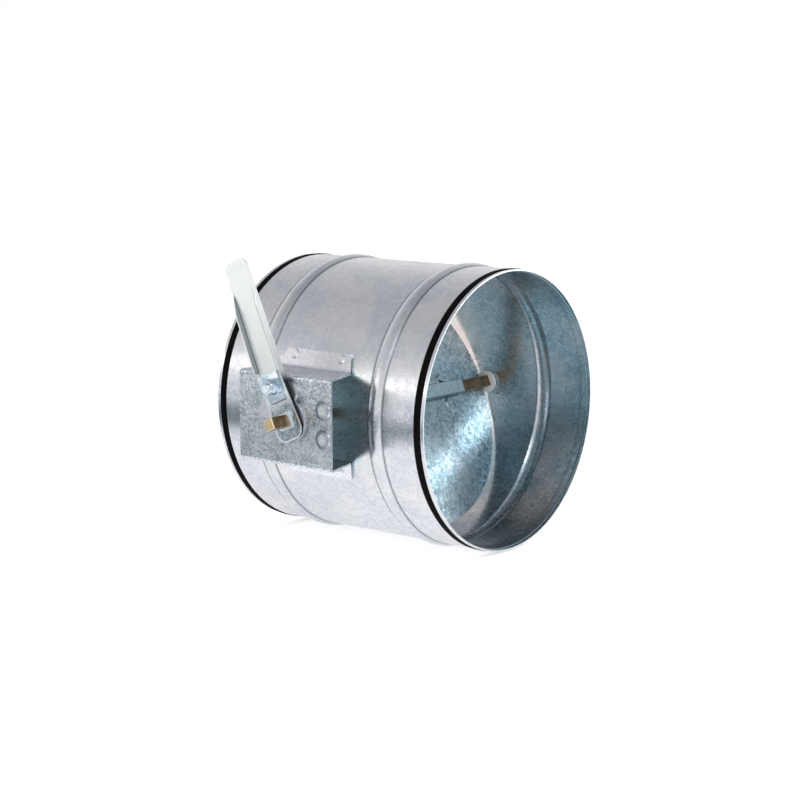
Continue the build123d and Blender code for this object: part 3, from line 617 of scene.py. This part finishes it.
# ---------------------------------------------------------------- lock
LOCK_CLOUD_SIZE, LOCK_DEPTH, LOCK_SHADE = 6.0 * MM, 0.2 * MM, (0.48, 0.57, 0.66)
THREAD_PITCH, THREAD_DEPTH, TIP_CONE = 1.0 * MM, 0.45 * MM, 0.8 * MM
# Share of the stud's length, from its foot, over which the thread deepens
THREAD_RUN_IN = 1 / 3
POINTS_AROUND, RINGS_PER_TURN = 48, 8


def threaded_rod(name, centre, length, radius):
    """A rod along Y with a rolled thread and a blunt cone at its -Y tip."""
    rings = int(length / THREAD_PITCH * RINGS_PER_TURN)
    rod = bmesh.new()
    loops = []
    for step in range(rings + 1):
        out = length * step / rings
        depth = THREAD_DEPTH * min(1.0, out / (THREAD_RUN_IN * length))
        blunt = max(0.0, TIP_CONE - (length - out))
        loop = []
        for index in range(POINTS_AROUND):
            turn = index / POINTS_AROUND
            phase = (out / THREAD_PITCH + turn) % 1.0
            reach = radius - depth * (1 - abs(2 * phase - 1)) - blunt
            angle = math.tau * turn
            loop.append(rod.verts.new((
                centre.x + reach * math.cos(angle), centre.y - out, centre.z + reach * math.sin(angle))))
        loops.append(loop)
    for low, high in zip(loops, loops[1:]):
        for index in range(POINTS_AROUND):
            after = (index + 1) % POINTS_AROUND
            rod.faces.new((low[index], low[after], high[after], high[index]))
    rod.faces.new(loops[0])
    rod.faces.new(reversed(loops[-1]))
    bmesh.ops.recalc_face_normals(rod, faces=rod.faces)
    mesh = bpy.data.meshes.new(name)
    rod.to_mesh(mesh)
    rod.free()
    made = bpy.data.objects.new(name, mesh)
    bpy.context.scene.collection.objects.link(made)
    return made


class DAMPER_OT_lock(Operator):
    """Finishes the lock's clamp, washer, nut and stud, and the far washer and clip"""

    bl_idname = "damper.lock"
    bl_label = "Lever lock"

    def execute(self, context):
        colour = tuple(context.scene.damper_finish.bright_colour)
        finish = Finish("bright_zinc")
        cloud = finish.noise(LOCK_CLOUD_SIZE, detail=3.0)
        base = finish.mix(finish.spread(cloud, 0.42, 0.60), colour, LOCK_SHADE)
        finish.set(Base_Color=base, Roughness=finish.spread(cloud, 0.3, 0.7, 0.12, 0.26),
                   Normal=finish.bump(cloud, 0.15, LOCK_DEPTH))
        paint(("lock_clamp", "lock_washer", "lock_nut", "far_washer", "far_clip"), finish.material)
        middle = (STUD_LOW + STUD_HIGH) / 2
        foot = Vector((middle.x, STUD_HIGH.y, middle.z))
        stud = threaded_rod("stud_thread", foot, STUD_HIGH.y - STUD_LOW.y, (STUD_HIGH.x - STUD_LOW.x) / 2)
        stud.data.materials.append(finish.material)
        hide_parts("lock_stud")
        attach(stud, "blade_assembly")
        return {"FINISHED"}


# ---------------------------------------------------------------- shaft
SHAFT_CLOUD_SIZE, DRAWN_SIZE, DRAWN_DEPTH = 10.0 * MM, 0.8 * MM, 0.06 * MM
# Browns of the painted shade on the shaft's sides
DARK_BROWN_SHADE, LIGHT_BROWN_SHADE = (0.12, 0.08, 0.045), (0.26, 0.18, 0.10)
PLASTIC_SPECK_SIZE, PLASTIC_DEPTH = 3.0 * MM, 0.1 * MM
PLASTIC_LIGHT, PLASTIC_DULL = (0.80, 0.81, 0.80), (0.70, 0.72, 0.72)


class DAMPER_OT_shaft(Operator):
    """Finishes the square shaft and its bushes"""

    bl_idname = "damper.shaft"
    bl_label = "Shaft and bushes"

    def execute(self, context):
        colour = tuple(context.scene.damper_finish.yellow_colour)
        finish = Finish("yellow_zinc")
        cloud = finish.noise(SHAFT_CLOUD_SIZE, detail=4.0)
        drawn = finish.noise(DRAWN_SIZE, detail=3.0, at=finish.stretched(1.0, 0.05, 1.0))
        dull = tuple(0.75 * part for part in colour)
        base = finish.mix(finish.spread(cloud, 0.35, 0.7), colour, dull)
        # The sawn ends keep the bright plate; the sides get a painted dark brown shade.
        sides = finish.fading(finish.faces_y(), 0.3, 0.6)
        brown = finish.mix(finish.spread(cloud, 0.4, 0.65), DARK_BROWN_SHADE, LIGHT_BROWN_SHADE)
        finish.set(Base_Color=finish.mix(sides, base, brown),
                   Roughness=finish.spread(drawn, 0.3, 0.7, 0.26, 0.40),
                   Normal=finish.bump(drawn, 0.15, DRAWN_DEPTH))
        paint(("shaft",), finish.material)
        plastic = Finish("bush_plastic", metallic=0.0)
        speck = plastic.noise(PLASTIC_SPECK_SIZE, detail=3.0)
        plastic.set(Base_Color=plastic.mix(plastic.spread(speck, 0.3, 0.7), PLASTIC_LIGHT, PLASTIC_DULL),
                    Roughness=plastic.spread(speck, 0.3, 0.7, 0.35, 0.5),
                    Normal=plastic.bump(speck, 0.1, PLASTIC_DEPTH))
        paint(("near_bush", "far_bush", "plate_bush"), plastic.material)
        return {"FINISHED"}


# ---------------------------------------------------------------- stage
FLOOR_WIDTH = 80.0
CAMERA_AT, CAMERA_AIM = Vector((0.9369, -1.15675, 0.24436)), Vector((-0.00632, 0.0, -0.0027))
SENSOR_WIDTH, NEAREST_SEEN = 36.0, 0.01
# Where the low card beside the lever lies, and how far above the floor
BESIDE, BESIDE_SHARE, CARD_LIFT = Vector((-0.63, -0.77, 0)), 0.56, 2.0 * MM
SIDE_CARD_SIZE, END_CARD_SIZE, END_CARD_AT = (0.50, 1.5), (1.6, 1.1), Vector((1.7, 0.15, 0.30))
# The room is white up to a share of its height, and darkens from there to overhead.
WHITE_UP_TO = 0.30
ROOM_WHITE, ROOM_OVERHEAD = (1.0, 1.0, 1.0, 1), (0.42, 0.43, 0.47, 1)


def plane(name, size, centre, turn):
    """A flat rectangle of the stage."""
    mesh = bpy.data.meshes.new(name)
    half_x, half_y = size[0] / 2, size[1] / 2
    corners = [(-half_x, -half_y, 0), (half_x, -half_y, 0), (half_x, half_y, 0), (-half_x, half_y, 0)]
    mesh.from_pydata(corners, [], [(0, 1, 2, 3)])
    made = bpy.data.objects.new(name, mesh)
    made.matrix_world = Matrix.Translation(centre) @ turn
    bpy.context.scene.collection.objects.link(made)
    return made


def soft_light(name, position, size, power, colour=(1, 1, 1)):
    """A rectangular soft light that faces the damper."""
    data = bpy.data.lights.new(name, "AREA")
    data.shape = "RECTANGLE"
    data.size, data.size_y = size
    data.energy = power
    data.color = colour
    made = bpy.data.objects.new(name, data)
    made.location = position
    made.rotation_euler = (-Vector(position)).to_track_quat("-Z", "Y").to_euler()
    bpy.context.scene.collection.objects.link(made)


def card(name, size, centre, turn, colour):
    """A dark card that only the metal's reflections see."""
    made = plane(name, size, centre, turn)
    paper = Finish(name + "_paper", metallic=0.0)
    paper.set(Base_Color=tuple(colour), Roughness=0.9)
    made.data.materials.append(paper.material)
    made.visible_camera = False
    made.visible_shadow = False
    made.visible_diffuse = False


def studio(scene, strength):
    """A white room that darkens overhead."""
    world = bpy.data.worlds.new("studio")
    scene.world = world
    world.use_nodes = True
    tree = world.node_tree
    place = tree.nodes.new("ShaderNodeTexCoord").outputs["Generated"]
    split = tree.nodes.new("ShaderNodeSeparateXYZ")
    tree.links.new(place, split.inputs[0])
    ramp = tree.nodes.new("ShaderNodeValToRGB")
    tree.links.new(split.outputs["Z"], ramp.inputs[0])
    stops = ramp.color_ramp.elements
    stops[0].position, stops[0].color = 0.0, ROOM_WHITE
    stops[1].position, stops[1].color = 1.0, ROOM_OVERHEAD
    stops.new(WHITE_UP_TO).color = ROOM_WHITE
    back = tree.nodes["Background"]
    tree.links.new(ramp.outputs[0], back.inputs[0])
    back.inputs[1].default_value = strength


class DAMPER_OT_stage(Operator):
    """Builds the floor, the soft lights and the camera"""

    bl_idname = "damper.stage"
    bl_label = "Stage"

    def execute(self, context):
        settings = context.scene.damper_stage
        floor = plane("floor", (FLOOR_WIDTH, FLOOR_WIDTH), Vector((0, 0, TUBE_LOW.z)), Matrix.Identity(4))
        paper = Finish("floor_paper", metallic=0.0)
        paper.set(Base_Color=tuple(settings.floor_colour), Roughness=0.9,
                  Emission_Color=tuple(settings.floor_colour), Emission_Strength=settings.floor_glow)
        floor.data.materials.append(paper.material)
        card("card_side", SIDE_CARD_SIZE, BESIDE * BESIDE_SHARE + Vector((0, 0, TUBE_LOW.z + CARD_LIFT)),
             Matrix.Rotation(math.atan2(BESIDE.y, BESIDE.x), 4, "Z"), settings.side_card_colour)
        card("card_end", END_CARD_SIZE, END_CARD_AT,
             (-END_CARD_AT).to_track_quat("Z", "Y").to_matrix().to_4x4(), settings.end_card_colour)
        studio(context.scene, settings.world_strength)
        soft_light("key", (-1.3, -1.7, 0.62), (1.6, 0.30), settings.key_power, (1.0, 0.98, 0.94))
        soft_light("glow", (1.13, -1.07, 1.20), (0.55, 0.45), settings.glow_power)
        soft_light("lift", (1.25, 1.25, 0.15), (1.5, 1.0), settings.lift_power)

        camera = bpy.data.objects.new("camera", bpy.data.cameras.new("camera"))
        camera.location = CAMERA_AT
        camera.rotation_euler = (CAMERA_AIM - CAMERA_AT).to_track_quat("-Z", "Y").to_euler()
        camera.data.lens = settings.lens
        camera.data.sensor_width = SENSOR_WIDTH
        camera.data.clip_start = NEAREST_SEEN
        context.scene.collection.objects.link(camera)
        context.scene.camera = camera
        context.scene.view_settings.view_transform = "Standard"
        return {"FINISHED"}


# ---------------------------------------------------------------- add-on
class DAMPER_PT_panel(Panel):
    """Lists the pieces and their settings"""

    bl_idname = "DAMPER_PT_panel"
    bl_label = "Volume control damper"
    bl_space_type = "VIEW_3D"
    bl_region_type = "UI"
    bl_category = "Damper"

    def draw(self, context):
        for piece in PIECES:
            self.layout.operator(piece.bl_idname)
        for settings in (context.scene.damper_finish, context.scene.damper_stage):
            for name in settings.bl_rna.properties.keys():
                if name not in ("rna_type", "name"):
                    self.layout.prop(settings, name)


PIECES = (DAMPER_OT_tube, DAMPER_OT_gaskets, DAMPER_OT_bracket, DAMPER_OT_blade, DAMPER_OT_lever,
          DAMPER_OT_lock, DAMPER_OT_shaft, DAMPER_OT_stage)
CLASSES = (FinishSettings, StageSettings, *PIECES, DAMPER_PT_panel)


def register():
    """Adds the settings, the operators and the panel."""
    for entry in CLASSES:
        bpy.utils.register_class(entry)
    bpy.types.Scene.damper_finish = PointerProperty(type=FinishSettings)
    bpy.types.Scene.damper_stage = PointerProperty(type=StageSettings)


def unregister():
    """Takes them away again."""
    del bpy.types.Scene.damper_stage
    del bpy.types.Scene.damper_finish
    for entry in reversed(CLASSES):
        bpy.utils.unregister_class(entry)


def main():
    """Builds every piece in turn."""
    register()
    bpy.ops.damper.tube()
    bpy.ops.damper.gaskets()
    bpy.ops.damper.bracket()
    bpy.ops.damper.blade()
    bpy.ops.damper.lever()
    bpy.ops.damper.lock()
    bpy.ops.damper.shaft()
    bpy.ops.damper.stage()


if __name__ == "__main__":
    main()
